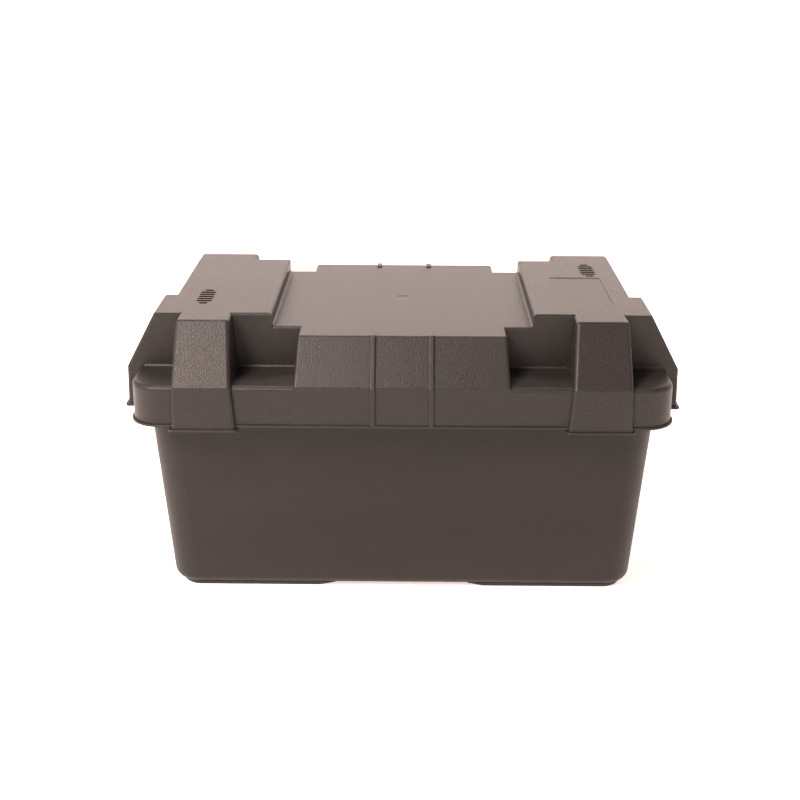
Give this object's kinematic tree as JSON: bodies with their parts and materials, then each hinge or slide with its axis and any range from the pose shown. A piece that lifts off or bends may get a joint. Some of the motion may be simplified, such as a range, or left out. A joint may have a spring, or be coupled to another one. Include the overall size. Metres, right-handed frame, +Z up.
{
  "type": "boxed deep cycle battery",
  "caption": "Deep cycle leisure battery inside a vented, strap-down moulded box with a lift-off lid and cable hoods at its ends.",
  "frame": {"origin": "centre of the box's footprint, on the plane its two foot pads stand on", "axes": "+X along the box from the negative to the positive terminal, -Y to the front, where the cable hoods are nearest, +Z up"},
  "size_m": [0.4686, 0.2904, 0.2426],
  "materials": {
    "box_plastic": "moulded black polypropylene, fine pebble grain on the lid, satin tub",
    "jar_plastic": "moulded black polypropylene",
    "cover_plastic": "moulded black polypropylene, fine spark texture",
    "cap_plastic": "moulded yellow polypropylene",
    "seal_rubber": "soft black rubber",
    "lead": "dull cast lead alloy",
    "positive_paste": "brown pasted plate",
    "negative_paste": "grey pasted plate",
    "separator_sheet": "off-white microporous sheet",
    "stainless": "stainless steel",
    "red_felt": "treated red felt",
    "green_felt": "treated green felt"
  },
  "bodies": {
    "tub": {"box_tub": "box_plastic"},
    "lid": {"box_lid": "box_plastic"},
    "cap_1": {"vent_cap_1": "cap_plastic", "vent_cap_seal_1": "seal_rubber"},
    "cap_2": {"vent_cap_2": "cap_plastic", "vent_cap_seal_2": "seal_rubber"},
    "cap_3": {"vent_cap_3": "cap_plastic", "vent_cap_seal_3": "seal_rubber"},
    "cap_4": {"vent_cap_4": "cap_plastic", "vent_cap_seal_4": "seal_rubber"},
    "cap_5": {"vent_cap_5": "cap_plastic", "vent_cap_seal_5": "seal_rubber"},
    "cap_6": {"vent_cap_6": "cap_plastic", "vent_cap_seal_6": "seal_rubber"},
    "positive_nut": {"positive_wing_nut": "stainless"},
    "negative_nut": {"negative_wing_nut": "stainless"},
    "battery": {"battery_jar": "jar_plastic", "battery_cover": "cover_plastic", "intercell_welds": "lead", "positive_plates_cell_1": "positive_paste", "negative_plates_cell_1": "negative_paste", "separators_cell_1": "separator_sheet", "positive_plates_cell_2": "positive_paste", "negative_plates_cell_2": "negative_paste", "separators_cell_2": "separator_sheet", "positive_plates_cell_3": "positive_paste", "negative_plates_cell_3": "negative_paste", "separators_cell_3": "separator_sheet", "positive_plates_cell_4": "positive_paste", "negative_plates_cell_4": "negative_paste", "separators_cell_4": "separator_sheet", "positive_plates_cell_5": "positive_paste", "negative_plates_cell_5": "negative_paste", "separators_cell_5": "separator_sheet", "positive_plates_cell_6": "positive_paste", "negative_plates_cell_6": "negative_paste", "separators_cell_6": "separator_sheet", "positive_terminal": "lead", "positive_stud": "stainless", "positive_flat_washer": "stainless", "positive_spring_washer": "stainless", "positive_felt_washer": "red_felt", "negative_terminal": "lead", "negative_stud": "stainless", "negative_flat_washer": "stainless", "negative_spring_washer": "stainless", "negative_felt_washer": "green_felt"}
  },
  "joints": [
    {"name": "battery_lift", "type": "slide", "parent": "tub", "child": "battery", "axis": [0, 0, 1], "range_m": [0, 0.22]},
    {"name": "lid_lift", "type": "slide", "parent": "battery", "child": "lid", "axis": [0, 0, 1], "range_m": [0, 0.2]},
    {"name": "cap_1_turn", "type": "hinge", "parent": "battery", "child": "cap_1", "pos_m": [-0.12425, 0.012, 0.2], "axis": [0, 0, 1], "range_deg": [0, 90]},
    {"name": "cap_2_turn", "type": "hinge", "parent": "battery", "child": "cap_2", "pos_m": [-0.07455, 0.012, 0.2], "axis": [0, 0, 1], "range_deg": [0, 90]},
    {"name": "cap_3_turn", "type": "hinge", "parent": "battery", "child": "cap_3", "pos_m": [-0.02485, 0.012, 0.2], "axis": [0, 0, 1], "range_deg": [0, 90]},
    {"name": "cap_4_turn", "type": "hinge", "parent": "battery", "child": "cap_4", "pos_m": [0.02485, 0.012, 0.2], "axis": [0, 0, 1], "range_deg": [0, 90]},
    {"name": "cap_5_turn", "type": "hinge", "parent": "battery", "child": "cap_5", "pos_m": [0.07455, 0.012, 0.2], "axis": [0, 0, 1], "range_deg": [0, 90]},
    {"name": "cap_6_turn", "type": "hinge", "parent": "battery", "child": "cap_6", "pos_m": [0.12425, 0.012, 0.2], "axis": [0, 0, 1], "range_deg": [0, 90]},
    {"name": "positive_nut_spin", "type": "hinge", "parent": "battery", "child": "positive_nut", "pos_m": [0.12425, -0.033, 0.212], "axis": [0, 0, 1], "continuous": true},
    {"name": "negative_nut_spin", "type": "hinge", "parent": "battery", "child": "negative_nut", "pos_m": [-0.12425, -0.033, 0.212], "axis": [0, 0, 1], "continuous": true}
  ]
}
